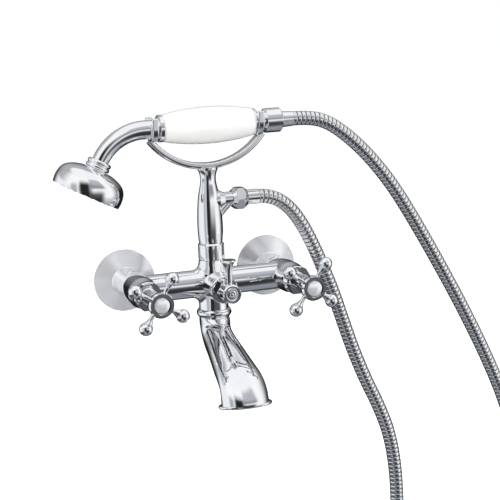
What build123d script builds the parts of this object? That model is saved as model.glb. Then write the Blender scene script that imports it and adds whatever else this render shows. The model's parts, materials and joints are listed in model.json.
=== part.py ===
from build123d import *
import os
from math import cos, pi, radians, sin, tan

# Wall mounted bath and shower mixer. X runs along the wall, Y into it, Z up, in millimetres.
# The origin is midway between the two wall inlets, on the wall plane.

# Fits
running_fit = 0.05
seat_gap = 0.2
slip_gap = 0.3

# Wall inlets and unions, measured outward from the wall
inlet_spacing = 150.0
eccentric_offset = 6.0
wall_thread_d = 20.955
wall_thread_length = 16.0
wall_end_length = 3.0
wall_relief_d = 19.0
union_overlap = 1.0
waterway_step = 0.5
union_thread_d = 26.441
union_length = 25.0
union_bore_d = 16.0
wall_bore_d = 12.0
flange_d = 62.0
flange_rim = 1.6
flange_cone_depth = 9.4
flange_depth = 12.4
flange_wall = 0.8
flange_bevel = 1.0
flange_step = 0.6
union_nut_d = 30.0
union_nut_shoulder = 6.0
union_washer_t = 2.0
tail_lip_t = 3.0
tail_d = 20.0
tail_thread_d = 18.0
tail_thread_length = 7.4
tail_bore_d = 13.0
tail_lip_inset = 0.5
tail_end_gap = 1.0
edge_chamfer = 0.8

# Mixer body
body_depth = 55.0
arm_d = 27.0
arm_bore_d = 14.0
barrel_d = 30.4
barrel_length = 51.4
barrel_neck_d = 27.0
column_root_d = 29.0
body_top = 23.0
body_bottom = 26.0
arm_blend = 8.0
barrel_bevel = 1.2
barrel_bevel_length = 1.8
barrel_taper_length = 10.0
barrel_neck_length = 6.0
outlet_thread_d = 20.8
outlet_bore_d = 12.0
top_nipple_length = 8.0
bottom_nipple_length = 11.0

# Ceramic headworks
seat_web = 3.0
chamber_d = 23.6
headwork_thread_d = 20.955
headwork_thread_length = 19.5
cage_d = 20.0
cage_bore_d = 17.8
seal_t = 2.5
seal_d = 18.0
disc_d = 17.0
disc_t = 3.0
disc_port_d = 4.4
disc_port_radius = 4.8
driver_t = 3.5
spindle_d = 8.0
spindle_square = 5.6
spindle_square_length = 19.0
bonnet_hex = 24.0
bonnet_hex_t = 9.0
bonnet_neck_d = 15.0
bonnet_neck_length = 6.7
cage_window = 10.0

# Cross handles
handle_length = 32.4
handle_rear_d = 16.4
handle_front_d = 24.4
arm_position = 21.5
arm_reach = 26.1
ball_d = 13.0
arm_root_d = 5.6
arm_waist_d = 4.2
arm_neck_length = 5.0
arm_taper_length = 4.0
arm_swell = 0.2
hub_swell = 0.4
hub_band = 3.0
hub_bevel = 1.0
hot_angle = 58.0
cold_angle = 53.0
button_d = 14.2
button_t = 2.7
button_dome = 1.3
button_proud = 0.5
button_recess_d = 17.2
screw_d = 5.0
screw_head_d = 8.8
screw_head_t = 2.8
screw_length = 12.0
screw_slot = 1.0
screw_tip_gap = 1.0
screw_hole_gap = 0.5
screw_head_gap = 1.2
handle_web = 3.0

# Diverter
diverter_drop = 1.5
boss_d = 27.4
boss_depth = 88.0
drum_d = 18.8
drum_start = 43.0
drum_cut_length = 14.0
drum_web = 1.0
diverter_thread_d = 22.0
diverter_thread_length = 12.0
diverter_flange_d = 27.0
diverter_flange_t = 3.6
diverter_hex = 17.0
diverter_hex_t = 6.4
stem_d = 10.0
o_ring_d = 14.8
o_ring_t = 2.4
lever_hub_d = 18.4
lever_hub_length = 16.6
lever_reach = 31.8
lever_stem_d = 7.8
lever_tip_d = 15.4
lever_tip_t = 1.2
lever_tip_bevel = 0.6
lever_flare_share = 0.62
lever_throat_back = 5.0
lever_throat_swell = 1.0
lever_hub_bevel = 1.5
lever_rim_bevel = 1.2
cap_d = 13.6
cap_t = 2.6

# Riser column and its side outlet
riser_nut_d = 25.6
riser_nut_length = 16.2
riser_washer_t = 2.0
riser_tail_d = 19.0
snap_ring_t = 1.8
snap_ring_d = 20.4
snap_groove = 1.0
snap_gap = 2.0
snap_margin = 1.0
riser_nut_bevel = 1.2
riser_nut_bevel_length = 1.5
riser_base_d = 23.2
riser_belly_d = 23.7
riser_waist_d = 15.2
riser_top_d = 19.6
riser_belly_height = 71.0
riser_waist_height = 101.6
riser_shoulder_rise = 2.5
riser_top = 110.8
riser_bore_d = 11.0
tee_height = 80.5
tee_d = 14.0
tee_length = 22.6
tee_bore_d = 8.0
tee_blend = 3.0
tee_strut_d = 12.0
tee_strut_drop = 20.3
tee_strut_length = 25.8
tee_thread_d = 13.157
tee_thread_length = 9.4

# Cradle
axis_height = 153.5
bow_thickness = 6.4
bow_width = 11.0
bow_round = 0.42
bow_bottom = 111.2
fork_width = 6.5
fork_wall = 4.0
fork_rise = 11.0
fork_tip_round = 0.46
fork_edge_round = 1.5
boss_under_bow = 2.4
fork_to_bend = 5.2
fork_to_thread = 3.2
stud_d = 8.0
stud_length = 13.5

# Hand shower, along X from the middle between the forks
neck_d = 18.0
neck_end_d = 15.8
neck_bore_d = 12.8
neck_bend_radius = 50.0
neck_bend = 62.0
neck_end_length = 8.0
water_tube_d = 14.8
water_tube_bore_d = 11.6
tube_socket = 8.0
ferrule_d = 26.0
ferrule_length = 6.4
ferrule_step = 0.6
grip_length = 90.0
grip_end_d = 26.6
grip_middle_d = 35.6
grip_bore_d = 16.0
grip_bevel = 1.0
tail_flange_d = 25.6
tail_flange_t = 2.2
tail_flange_bevel = 0.6
bead_d = 4.6
bead_reach = 9.4
bead_pitch = 4.1
head_d = 67.0
head_bulge = 0.6
head_profile = ((0.66, 0.09), (0.92, 0.31))
head_bulge_place = 0.7
head_depth = 26.0
head_wall = 2.4
head_top_d = 26.0
spray_face_t = 3.0
spray_face_inset = 0.5
spray_hole_d = 1.6
spray_rings = (6, 12, 18)
spray_ring_pitch = 8.0
head_gasket_t = 1.5
head_gasket_width = 2.2

# Hose, its nuts and ferrules
hose_d = 14.0
hose_valley_d = 12.4
hose_bore_d = 8.0
hose_rib_pitch = 6.0
hose_rib = (0.2, 0.7, 0.9)
hose_bend_share = 0.45
hose_nut_hex = 20.5
hose_nut_turn = 30.0
hose_nut_length = 15.2
hose_nut_face = 0.40
hose_nut_corner = 0.58
hose_nut_bevel = 5.0
washer_inset = 0.8
hose_washer_t = 1.4
nipple_flange_t = 2.0
riser_nipple_d = 10.0
riser_ferrule_length = 12.0
riser_ferrule_d = 14.6
handset_thread_d = 20.955
handset_thread_length = 8.0
handset_nut_d = 23.8
handset_nut_shoulder = 4.2
handset_nut_bevel = 1.0
handset_washer_t = 2.0
handset_nipple_d = 12.0
handset_ferrule_length = 12.2
handset_ferrule_d = 15.8
handset_ferrule_end_d = 14.4

# Route of the hose in X and Z, from the side outlet down, round the hanging loop and up to the hand shower
hose_loop_from = 0.36
hose_loop_to = 0.58
riser_hose_lead = 8.3
handset_hose_lead = 19.6
hose_route = [
    (73.5, 74.8), (86.5, 62.5), (97.0, 46.0), (106.5, 26.5), (117.0, 1.0), (127.0, -25.0),
    (136.0, -54.0), (146.5, -86.0), (159.0, -118.0), (174.0, -150.0), (185.0, -181.0), (190.5, -216.0),
    (192.0, -252.0), (191.5, -289.0), (197.0, -321.5), (214.0, -347.5), (240.0, -364.0), (271.0, -367.5),
    (300.5, -358.0), (323.5, -337.0), (336.5, -308.0), (338.0, -275.0), (336.0, -237.0), (330.0, -198.0),
    (316.5, -154.5), (296.0, -106.5), (271.5, -56.5), (245.0, -7.0), (220.5, 36.5), (200.0, 70.5),
    (184.0, 93.0), (165.5, 115.0), (146.5, 133.0), (127.5, 147.0),
]

# Spout
collar_d = 34.4
collar_t = 7.0
collar_bulge = 1.6
spout_root_d = 29.0
spout_drop = 17.5
spout_reach = 82.0
spout_fall = 36.0
spout_mouth_drop = 17.5
spout_mouth_lean = 1.5
spout_bend = 22.0
spout_mouth_width = 46.0
spout_mouth_depth = 27.0
spout_wall = 3.6
spout_lip = 3.2
spout_lip_t = 3.0
spout_lip_round = 0.4
spout_bore_from = 0.1
spout_sections = 9
spout_washer_t = 1.6
straightener_t = 2.0
straightener_inset = 7.0
straightener_hole_d = 2.4
straightener_hole_pitch = 5.0
straightener_rim = 1.6

# Depths that follow from the sizes above
half_spacing = inlet_spacing / 2
union_nut_start = flange_depth + seat_gap
tail_lip_start = union_length + union_washer_t
tail_lip_end = tail_lip_start + tail_lip_t
union_nut_end = tail_lip_end + seat_gap + union_nut_shoulder
barrel_back = union_nut_end + 2 * seat_gap
barrel_front = barrel_back + barrel_length
seat_depth = barrel_back + tail_thread_length + tail_end_gap + seat_web
fixed_disc_start = seat_depth + seal_t
moving_disc_start = fixed_disc_start + disc_t
driver_start = moving_disc_start + disc_t
driver_end = driver_start + driver_t
bonnet_end = barrel_front + bonnet_hex_t + bonnet_neck_length
handle_start = bonnet_end + slip_gap
handle_end = handle_start + handle_length
spindle_end = handle_start + arm_position + seat_gap
screw_seat = spindle_end + seat_gap + handle_web
button_seat = handle_end - button_t + button_proud
diverter_inner = boss_depth - diverter_thread_length
drum_end = diverter_inner - seat_gap
lever_start = boss_depth + diverter_flange_t + diverter_hex_t + slip_gap
lever_end = lever_start + lever_hub_length
stem_end = lever_end - cap_t - screw_head_t - handle_web - seat_gap
lever_web_end = stem_end + seat_gap + handle_web
tee_end = tee_length + seat_gap
riser_nipple_top = body_top + top_nipple_length
riser_tail_bottom = riser_nipple_top + riser_washer_t
riser_nut_top = body_top + seat_gap + riser_nut_length
riser_base = riser_nut_top + seat_gap
snap_ring_bottom = riser_tail_bottom + snap_margin
fork_bore_r = neck_d / 2 + slip_gap
neck_start = (ferrule_length + grip_length + tail_flange_t + seat_gap) / 2
fork_place = neck_start + slip_gap + fork_width / 2
bow_middle = bow_bottom + bow_thickness / 2
grip_start = -neck_start + ferrule_length + seat_gap / 2
grip_end = grip_start + grip_length
tail_start = grip_end + seat_gap / 2
bend_start = -(fork_place + fork_width / 2 + fork_to_bend)
handset_thread_start = fork_place + fork_width / 2 + fork_to_thread
handset_thread_end = handset_thread_start + handset_thread_length
handset_nut_end = (handset_thread_end + handset_washer_t + nipple_flange_t + seat_gap
                   + handset_nut_shoulder)
hose_nut_start = tee_end
hose_nut_end = hose_nut_start + hose_nut_length
spout_top = -body_bottom - collar_t
nipple_bottom = -body_bottom - bottom_nipple_length


def turned(*points):
    """Solid of revolution about Z from a closed outline of (radius, height) points."""
    return revolve(Plane.XZ * make_face(Polyline(*points, close=True)), Axis.Z)


def ring(outer_d, inner_d, start, end):
    """Flat-ended ring about Z."""
    outer, inner = outer_d / 2, inner_d / 2
    return turned((inner, start), (outer, start), (outer, end), (inner, end))


def rod(diameter, start, end):
    """Cylinder along Z."""
    return turned((0, start), (diameter / 2, start), (diameter / 2, end), (0, end))


def hexagon(across_flats, start, end):
    """Hexagonal prism along Z, with its flats above and below."""
    outline = RegularPolygon(across_flats / 2, 6, major_radius=False)
    return Pos(0, 0, start) * extrude(outline, end - start)


def outward(x, z=0.0):
    """Placement of a piece whose Z runs out of the wall at the given X and Z."""
    return Pos(x, 0, z) * Rot(90, 0, 0)


def along_x(z):
    """Placement of a piece whose Z runs along X at the body's depth and the given height."""
    return Pos(0, -body_depth, z) * Rot(0, 90, 0)


def upright():
    """Placement of a piece turned about the riser's axis."""
    return Pos(0, -body_depth, 0)


def save(name, part):
    """Write one piece, raised from the mixer's axis to the frame of the wall inlets."""
    export_step(Pos(0, 0, eccentric_offset) * part, f"parts/{name}.step")


# Inlet unions
def wall_flange():
    """Spun sheet rosette: a shallow cone with a rim and a collar."""
    rim = flange_d / 2
    collar_bore = union_thread_d / 2 + running_fit
    collar = collar_bore + flange_wall
    return turned(
        (rim, 0), (rim, flange_rim), (collar + flange_bevel, flange_cone_depth),
        (collar, flange_cone_depth + flange_bevel), (collar, flange_depth), (collar_bore, flange_depth),
        (collar_bore, flange_cone_depth + flange_step),
        (collar_bore + flange_wall, flange_cone_depth - flange_wall),
        (rim - flange_wall, flange_rim - flange_wall / 2), (rim - flange_wall, 0),
    )


def eccentric_union():
    """Offset connector: wall thread and relief below the mixer's axis, union thread on it."""
    wall_axis = Pos(0, -eccentric_offset, 0)
    outside = wall_axis * rod(wall_thread_d, -wall_thread_length, 0)
    outside += wall_axis * rod(wall_relief_d, 0, wall_end_length)
    outside += rod(union_thread_d, wall_end_length - union_overlap, union_length)
    waterway = wall_axis * rod(wall_bore_d, -wall_thread_length, wall_end_length + 2 * union_overlap)
    waterway += rod(union_bore_d, wall_end_length + waterway_step, union_length)
    return outside - waterway


def union_nut():
    """Round captive nut with a threaded mouth and a shoulder behind the tail's lip."""
    outer = union_nut_d / 2
    thread = union_thread_d / 2 + running_fit
    shoulder = tail_d / 2 + 2 * running_fit
    shoulder_start = tail_lip_end + seat_gap
    return turned(
        (thread, union_nut_start), (outer - edge_chamfer, union_nut_start),
        (outer, union_nut_start + edge_chamfer), (outer, union_nut_end - edge_chamfer),
        (outer - edge_chamfer, union_nut_end), (shoulder, union_nut_end), (shoulder, shoulder_start),
        (thread, shoulder_start),
    )


def union_tail():
    """Screwed tail that keeps the nut on the body."""
    bore = tail_bore_d / 2
    lip = union_thread_d / 2 - tail_lip_inset
    thread = tail_thread_d / 2
    thread_end = barrel_back + tail_thread_length
    return turned(
        (bore, tail_lip_start), (lip, tail_lip_start), (lip, tail_lip_end), (tail_d / 2, tail_lip_end),
        (tail_d / 2, barrel_back), (thread, barrel_back), (thread, thread_end), (bore, thread_end),
    )


def union_washer():
    """Fibre washer between the union and the tail."""
    return ring(union_thread_d - 2 * tail_lip_inset, union_bore_d, union_length, tail_lip_start)


# Mixer body
def mixer_body():
    """Cast body: two arms, two valve barrels, a diverter boss and two threaded outlets."""
    arm = Pos(0, -body_depth, 0) * Rot(0, 90, 0) * Cylinder(arm_d / 2, inlet_spacing)
    root = column_root_d / 2
    neck = riser_nut_d / 2 - seat_gap
    column = upright() * turned(
        (0, -body_bottom), (root, -body_bottom), (root, body_top / 2), (neck, body_top), (0, body_top))
    solid = arm + column
    blend_edges = solid.edges().filter_by(
        lambda e: e.geom_type != GeomType.CIRCLE and abs(e.center().X) < root and e.length > arm_d / 2)
    solid = fillet(blend_edges, arm_blend)
    solid += outward(0, -diverter_drop) * turned(
        (0, body_depth), (boss_d / 2, body_depth), (boss_d / 2, boss_depth - edge_chamfer),
        (boss_d / 2 - edge_chamfer, boss_depth), (0, boss_depth))
    outer = barrel_d / 2
    barrel_neck = barrel_neck_d / 2
    taper_end = barrel_front - barrel_neck_length
    for x in (-half_spacing, half_spacing):
        solid += outward(x) * turned(
            (0, barrel_back), (outer - barrel_bevel, barrel_back), (outer, barrel_back + barrel_bevel_length),
            (outer, taper_end - barrel_taper_length), (barrel_neck, taper_end),
            (barrel_neck, barrel_front - edge_chamfer), (barrel_neck - edge_chamfer, barrel_front),
            (0, barrel_front))
    solid += upright() * rod(outlet_thread_d, body_top, riser_nipple_top)
    solid += upright() * rod(outlet_thread_d, nipple_bottom, -body_bottom)
    return solid - body_waterways()


def body_waterways():
    """Inlet, valve, arm, diverter and outlet bores of the body."""
    seat = tail_bore_d / 2
    tail_thread = tail_thread_d / 2 + running_fit
    chamber = chamber_d / 2
    thread = headwork_thread_d / 2 + running_fit
    thread_start = barrel_front - headwork_thread_length
    web_back = seat_depth - seat_web
    bores = along_x(0) * rod(arm_bore_d, -half_spacing, half_spacing)
    for x in (-half_spacing, half_spacing):
        bores += outward(x) * turned(
            (0, barrel_back), (tail_thread, barrel_back), (tail_thread, web_back), (seat, web_back),
            (seat, seat_depth), (chamber, seat_depth), (chamber, thread_start), (thread, thread_start),
            (thread, barrel_front), (0, barrel_front))
    drum = drum_d / 2 + running_fit
    bonnet_thread = diverter_thread_d / 2 + running_fit
    bores += outward(0, -diverter_drop) * turned(
        (0, drum_start - seat_gap), (drum, drum_start - seat_gap), (drum, diverter_inner),
        (bonnet_thread, diverter_inner), (bonnet_thread, boss_depth), (0, boss_depth))
    bores += upright() * rod(outlet_bore_d, nipple_bottom, riser_nipple_top)
    return bores


# Headworks and cross handles
def headwork_bonnet():
    """Brass headwork: cage round the discs, thread, hexagon and neck."""
    cage_start = fixed_disc_start + seat_gap
    thread_start = barrel_front - headwork_thread_length
    thread = headwork_thread_d / 2
    neck = bonnet_neck_d / 2
    bore = spindle_d / 2 + running_fit
    shoulder = driver_end + seat_gap
    solid = turned(
        (cage_bore_d / 2, cage_start), (cage_d / 2, cage_start), (cage_d / 2, thread_start),
        (thread, thread_start), (thread, barrel_front), (neck, barrel_front),
        (neck, bonnet_end - edge_chamfer), (neck - edge_chamfer, bonnet_end),
        (bore, bonnet_end), (bore, shoulder), (cage_bore_d / 2, shoulder))
    nut = hexagon(bonnet_hex, barrel_front, barrel_front + bonnet_hex_t)
    solid += nut - rod(2 * neck - edge_chamfer, barrel_front, barrel_front + bonnet_hex_t)
    window = Box(chamber_d, cage_window, disc_t, align=(Align.CENTER, Align.CENTER, Align.MIN))
    return solid - Pos(0, 0, moving_disc_start) * window


def lip_seal():
    """Rubber seal under the fixed disc."""
    return ring(seal_d, tail_bore_d, seat_depth, fixed_disc_start)


def ported_disc(start, port_angle):
    """Ceramic disc with two ports across its middle."""
    disc = rod(disc_d, start, start + disc_t)
    for angle in (port_angle, port_angle + 180):
        disc -= Rot(0, 0, angle) * Pos(disc_port_radius, 0, 0) * rod(disc_port_d, start, start + disc_t)
    return disc


def spindle():
    """Driver, shaft and square end of one valve."""
    square_start = spindle_end - spindle_square_length
    solid = rod(disc_d - seat_gap, driver_start, driver_end) + rod(spindle_d, driver_end, square_start)
    square = Rectangle(spindle_square, spindle_square)
    solid += Pos(0, 0, square_start) * extrude(square, spindle_square_length)
    return solid - rod(screw_d, spindle_end - screw_length + screw_tip_gap, spindle_end)


def handle_arm():
    """One arm along X: a slender waist that swells into a ball."""
    waist = arm_reach - ball_d / 2 - arm_neck_length
    waist_start, waist_end = waist - arm_taper_length / 2, waist + arm_taper_length / 2
    stick = turned(
        (0, 0), (arm_root_d / 2, 0), (arm_root_d / 2, waist_start - arm_taper_length),
        (arm_waist_d / 2, waist_start), (arm_waist_d / 2 + arm_swell, waist_end),
        (ball_d / 3, arm_reach - ball_d / 3), (0, arm_reach))
    return Rot(0, 90, 0) * (stick + Pos(0, 0, arm_reach) * Sphere(ball_d / 2))


def cross_handle(angle):
    """Tapered hub with four ball-ended arms, a square socket, a screw seat and a button recess."""
    rear, front = handle_rear_d / 2, handle_front_d / 2
    recess = button_recess_d / 2
    hub = turned(
        (0, handle_start), (rear - edge_chamfer, handle_start), (rear, handle_start + edge_chamfer),
        (rear + hub_swell, handle_start + handle_length / 3),
        (front - hub_swell, handle_end - handle_length / 4),
        (front, handle_end - hub_band), (front - hub_bevel, handle_end), (recess, handle_end),
        (recess, button_seat), (0, button_seat))
    arms = [Rot(0, 0, angle + turn) * Pos(0, 0, handle_start + arm_position) * handle_arm()
            for turn in (0, 90, 180, 270)]
    socket = Rectangle(spindle_square + 2 * running_fit, spindle_square + 2 * running_fit)
    socket_end = spindle_end + seat_gap
    solid = hub + arms
    solid -= Pos(0, 0, handle_start) * extrude(socket, socket_end - handle_start)
    solid -= rod(spindle_d + 2 * running_fit, handle_start, spindle_end - spindle_square_length + seat_gap)
    solid -= rod(screw_d + screw_hole_gap, socket_end, screw_seat)
    return solid - rod(screw_head_d + screw_head_gap, screw_seat, button_seat)


def slotted_screw(seat):
    """Round-headed screw with its head's underside at the given depth, pointing to the wall."""
    solid = rod(screw_d - 2 * running_fit, seat - screw_length, seat)
    solid += rod(screw_head_d, seat, seat + screw_head_t)
    slot = Box(screw_head_d, screw_slot, screw_slot, align=(Align.CENTER, Align.CENTER, Align.MAX))
    return solid - Pos(0, 0, seat + screw_head_t) * slot


def domed_button(diameter, start, thickness):
    """Plain pressed-in button with a slightly domed face."""
    radius = diameter / 2
    top = start + thickness
    rim = top - button_dome
    sphere_r = (radius ** 2 + button_dome ** 2) / (2 * button_dome)
    halfway = top - sphere_r + (sphere_r ** 2 - (radius / 2) ** 2) ** 0.5
    face = [Polyline((0, start), (radius, start), (radius, rim)),
            ThreePointArc((radius, rim), (radius / 2, halfway), (0, top)),
            Line((0, top), (0, start))]
    return revolve(Plane.XZ * make_face(face), Axis.Z)


# Diverter
def diverter_drum():
    """Half-open plug that sends the water up or down, with its stem and square end."""
    cut_start = body_depth - drum_cut_length / 2
    solid = rod(drum_d, drum_start, drum_end) + rod(stem_d, drum_end, lever_start + slip_gap)
    square = Rectangle(spindle_square, spindle_square)
    solid += Pos(0, 0, lever_start) * extrude(square, stem_end - lever_start)
    opening = Box(drum_d, drum_d, drum_cut_length, align=(Align.CENTER, Align.MIN, Align.MIN))
    solid -= Pos(0, -drum_web, cut_start) * opening
    return solid - rod(screw_d, stem_end - screw_length + screw_tip_gap, stem_end)


def diverter_bonnet():
    """Threaded bush with a round flange and a small hexagon."""
    bore = stem_d / 2 + running_fit
    thread = diverter_thread_d / 2
    flange = diverter_flange_d / 2
    groove = o_ring_d / 2 + running_fit
    flange_end = boss_depth + diverter_flange_t
    groove_end = diverter_inner + o_ring_t + seat_gap
    solid = turned(
        (groove, diverter_inner), (thread, diverter_inner), (thread, boss_depth), (flange, boss_depth),
        (flange, flange_end - edge_chamfer), (flange - edge_chamfer, flange_end), (bore, flange_end),
        (bore, groove_end), (groove, groove_end))
    nut = hexagon(diverter_hex, flange_end, flange_end + diverter_hex_t)
    return solid + (nut - rod(2 * bore, flange_end, flange_end + diverter_hex_t))


def diverter_o_ring():
    """Stem seal in the bonnet's groove."""
    return ring(o_ring_d, stem_d + 2 * running_fit, diverter_inner + seat_gap / 2, diverter_inner + o_ring_t)


def diverter_lever():
    """Round hub with an upright lever that flares like a trumpet."""
    hub_r = lever_hub_d / 2
    hub = turned(
        (0, lever_start), (hub_r - lever_hub_bevel, lever_start), (hub_r, lever_start + lever_hub_bevel),
        (hub_r, lever_end - lever_rim_bevel), (hub_r - lever_rim_bevel, lever_end),
        (cap_d / 2 + running_fit, lever_end),
        (cap_d / 2 + running_fit, lever_end - cap_t), (0, lever_end - cap_t))
    stem, tip = lever_stem_d / 2, lever_tip_d / 2
    flare_start = lever_reach * lever_flare_share
    disc_start = lever_reach - lever_tip_t
    outline = [Polyline((0, 0), (stem, 0), (stem, flare_start)),
               Spline((stem, flare_start), (stem + lever_throat_swell, lever_reach - lever_throat_back),
                      (tip, disc_start), tangents=((0, 1), (1, 0.5))),
               Polyline((tip, disc_start), (tip - lever_tip_bevel, lever_reach), (0, lever_reach), (0, 0))]
    trumpet = Rot(-90, 0, 0) * revolve(Plane.XZ * make_face(outline), Axis.Z)
    socket_end = stem_end + seat_gap
    socket = Rectangle(spindle_square + 2 * running_fit, spindle_square + 2 * running_fit)
    solid = hub + Pos(0, 0, (lever_start + lever_end - cap_t) / 2) * trumpet
    solid -= Pos(0, 0, lever_start) * extrude(socket, socket_end - lever_start)
    solid -= rod(stem_d + 2 * running_fit, lever_start, lever_start + slip_gap + seat_gap)
    solid -= rod(screw_d + screw_hole_gap, socket_end, lever_web_end)
    return solid - rod(screw_head_d + screw_head_gap, lever_web_end, lever_end - cap_t)


# Riser column and cradle
def riser_nut():
    """Round sleeve nut that joins the riser to the body."""
    outer = riser_nut_d / 2
    thread = outlet_thread_d / 2 + running_fit
    shoulder = riser_tail_d / 2 + 2 * running_fit
    start = body_top + seat_gap
    shoulder_start = snap_ring_bottom + snap_ring_t + seat_gap
    return turned(
        (thread, start), (outer - edge_chamfer, start), (outer, start + edge_chamfer),
        (outer, riser_nut_top - riser_nut_bevel_length), (outer - riser_nut_bevel, riser_nut_top),
        (shoulder, riser_nut_top),
        (shoulder, shoulder_start), (thread, shoulder_start))


def riser_washer():
    """Flat washer on the body's top nipple."""
    return ring(outlet_thread_d, outlet_bore_d, riser_nipple_top, riser_tail_bottom)


def snap_ring():
    """Split ring in the riser's groove, which the sleeve nut pulls down on."""
    bore = riser_tail_d - 2 * snap_groove
    solid = ring(snap_ring_d, bore, snap_ring_bottom, snap_ring_bottom + snap_ring_t)
    split = Box(riser_tail_d / 3, snap_gap, 4 * snap_ring_t)
    return solid - Pos(riser_tail_d / 2, 0, snap_ring_bottom) * split


def riser_column():
    """Turned column with a waist, a strutted side outlet for the hose and a socket for the cradle's stud."""
    tail = riser_tail_d / 2
    groove = tail - snap_groove
    base, belly, waist, top = riser_base_d / 2, riser_belly_d / 2, riser_waist_d / 2, riser_top_d / 2
    groove_end = snap_ring_bottom + snap_ring_t
    outline = [
        Polyline((0, riser_tail_bottom), (tail, riser_tail_bottom), (tail, snap_ring_bottom),
                 (groove, snap_ring_bottom), (groove, groove_end), (tail, groove_end), (tail, riser_base),
                 (base, riser_base)),
        Spline((base, riser_base), (belly, riser_belly_height),
               ((belly + waist) / 2, (riser_belly_height + riser_waist_height) / 2 + riser_shoulder_rise),
               (waist, riser_waist_height), (top, riser_top)),
        Polyline((top, riser_top), (0, riser_top), (0, riser_tail_bottom)),
    ]
    solid = upright() * revolve(Plane.XZ * make_face(outline), Axis.Z)
    tee_r, root = tee_d / 2, belly - tee_blend
    tee = turned(
        (0, 0), (tee_r + tee_blend, 0), (tee_r + tee_blend, root), (tee_r, root + 2 * tee_blend),
        (tee_r, tee_length), (0, tee_length))
    tee += rod(tee_thread_d, tee_length, tee_length + tee_thread_length)
    solid += along_x(tee_height) * tee
    slope = Plane((0, -body_depth, tee_height - tee_strut_drop), x_dir=(0, 1, 0), z_dir=(1, 0, 1))
    solid += slope * rod(tee_strut_d, 0, tee_strut_length)
    solid -= along_x(tee_height) * rod(tee_bore_d, 0, tee_length + tee_thread_length)
    solid -= upright() * rod(riser_bore_d, riser_tail_bottom, tee_height + riser_bore_d / 2)
    stud_hole = rod(stud_d + 2 * running_fit, riser_top - stud_length + boss_under_bow, riser_top)
    return solid - upright() * stud_hole


def cradle_stud():
    """Threaded stud between the riser's top and the bow."""
    bottom = riser_top - stud_length + boss_under_bow + seat_gap
    return upright() * rod(stud_d, bottom, bottom + stud_length - seat_gap)


def handset_cradle():
    """Bow with a fork at each end that cups the hand shower's neck and tail."""
    half = fork_place + fork_width / 2
    rise = axis_height - fork_bore_r - fork_wall / 2
    arc = Plane.XZ * ThreePointArc((-half, rise), (0, bow_middle), (half, rise))
    section = Plane(arc @ 0, x_dir=(0, 1, 0), z_dir=arc % 0) * RectangleRounded(
        bow_width, bow_thickness, bow_thickness * bow_round)
    solid = sweep(section, path=arc)
    solid += Pos(0, 0, riser_top + seat_gap / 2) * Cylinder(
        riser_top_d / 2, boss_under_bow, align=(Align.CENTER, Align.CENTER, Align.MIN))
    for x in (-fork_place, fork_place):
        solid += Pos(x, 0, axis_height) * fork()
    solid -= rod(stud_d + 2 * running_fit, riser_top, riser_top + boss_under_bow + seat_gap)
    return Pos(0, -body_depth, 0) * solid


def fork():
    """Upright saddle across Y with two round-tipped prongs."""
    outer_r = fork_bore_r + fork_wall
    outline = Circle(outer_r) + Rectangle(2 * outer_r, fork_rise, align=(Align.CENTER, Align.MIN))
    outline -= Circle(fork_bore_r)
    outline -= Rectangle(2 * fork_bore_r, fork_rise + fork_wall, align=(Align.CENTER, Align.MIN))
    tips = outline.vertices().filter_by(lambda v: v.Y > fork_rise / 2)
    outline = fillet(tips, fork_wall * fork_tip_round)
    saddle = extrude(Plane.YZ * outline, fork_width / 2, both=True)
    outer_edges = saddle.edges().filter_by(lambda e: abs(abs(e.center().X) - fork_width / 2) < running_fit
                                           and e.position_at(0.5).Z < 0 and e.length > pi * outer_r / 2)
    return fillet(outer_edges, fork_edge_round)


# Hand shower
def neck_frame():
    """Plane at the end of the neck's bend, with Z along the head's axis."""
    bend = radians(neck_bend)
    end = (bend_start - neck_bend_radius * sin(bend), -body_depth,
           axis_height - neck_bend_radius * (1 - cos(bend)))
    return Plane(end, x_dir=(0, 1, 0), z_dir=(-cos(bend), 0, -sin(bend)))


def neck_path():
    """Centre line of the bent neck, from the front ferrule to the head."""
    frame = neck_frame()
    tip = frame.origin + frame.z_dir * neck_end_length
    turn = neck_bend_radius * tan(radians(neck_bend / 2))
    corner = (bend_start - turn, -body_depth, axis_height)
    return FilletPolyline((-neck_start, -body_depth, axis_height), corner, tip, radius=neck_bend_radius)


def handset_neck():
    """Bent tube from the grip to the head, narrower after its bend, with a socket for the water tube."""
    path = neck_path()
    start = Plane(path @ 0, x_dir=(0, 1, 0), z_dir=path % 0)
    bend = path.edges().filter_by(GeomType.CIRCLE)[0]
    bend_root = Plane((bend_start, -body_depth, axis_height), x_dir=(0, 1, 0), z_dir=(-1, 0, 0))
    tube = sweep([bend_root * Circle(neck_d / 2), neck_frame() * Circle(neck_end_d / 2)], path=bend,
                 multisection=True)
    tube += along_x(axis_height) * rod(neck_d, bend_start, -neck_start)
    tube += neck_frame() * rod(neck_end_d, 0, neck_end_length)
    tube -= sweep(start * Circle(neck_bore_d / 2), path=path)
    socket = rod(water_tube_d + 2 * running_fit, -neck_start - tube_socket, -neck_start)
    return tube - along_x(axis_height) * socket


def head_collar():
    """Collar with two beads where the head screws onto the neck."""
    middle = neck_end_length - (bead_pitch + bead_d) / 2
    sleeve = rod(2 * bead_reach, middle - bead_pitch, neck_end_length)
    for z in (middle - bead_pitch / 2, middle + bead_pitch / 2):
        sleeve += Pos(0, 0, z) * Torus(bead_reach, bead_d / 2)
    return neck_frame() * (sleeve - rod(neck_end_d + 2 * running_fit, -neck_end_length, 2 * neck_end_length))


def bell(radius, top_r, top, rim, bulge):
    """Bell solid about Z, from a flat top down to an open rim."""
    depth = rim - top
    outline = [
        Polyline((0, rim), (0, top), (top_r, top)),
        Spline((top_r, top), *[(radius * wide, top + depth * deep) for wide, deep in head_profile],
               (radius + bulge, top + depth * head_bulge_place), (radius, rim)),
        Line((radius, rim), (0, rim)),
    ]
    return revolve(Plane.XZ * make_face(outline), Axis.Z)


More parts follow.
